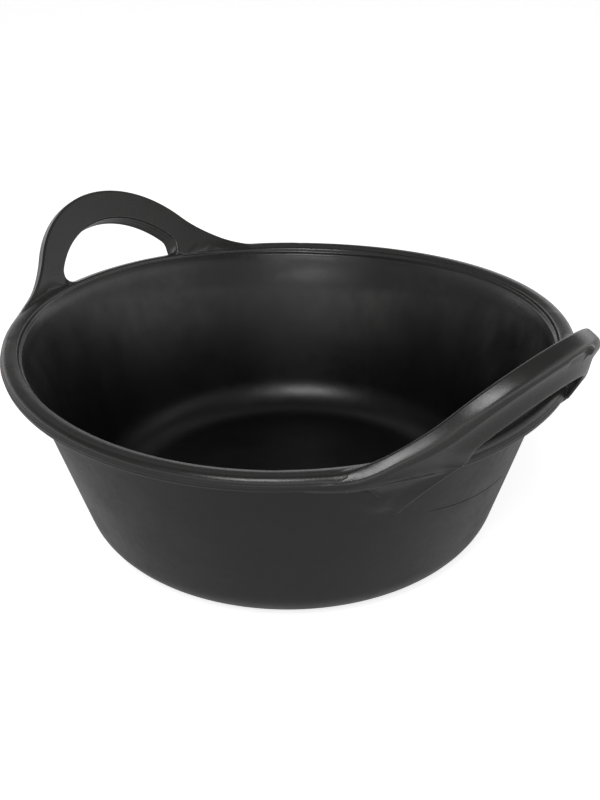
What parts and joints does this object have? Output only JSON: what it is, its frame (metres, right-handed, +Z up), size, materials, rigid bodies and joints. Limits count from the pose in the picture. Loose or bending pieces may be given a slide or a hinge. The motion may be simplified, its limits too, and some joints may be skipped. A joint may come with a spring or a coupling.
{
  "type": "ground feeder",
  "caption": "Round flared rubber feed tub with a rolled rim bead and loop handles moulded on at opposite sides, for feeding animals on the ground.",
  "frame": {"origin": "middle of the flat underside that the tub stands on", "axes": "+Z up, the handles on the X axis: handle_right at +X and handle_left at -X"},
  "size_m": [0.4656, 0.4, 0.203],
  "materials": {
    "base_rubber": "matt moulded rubber with a faint bloom",
    "heel_rubber": "matt moulded rubber with a faint bloom",
    "wall_rubber": "matt moulded rubber with a faint bloom",
    "rim_rubber": "satin moulded rubber, slightly polished by handling",
    "handle_rubber": "satin moulded rubber, slightly polished by handling"
  },
  "bodies": {
    "root": {"base": "base_rubber", "heel": "heel_rubber", "wall": "wall_rubber", "rim_bead": "rim_rubber", "handle_right": "handle_rubber", "handle_left": "handle_rubber"}
  },
  "joints": []
}
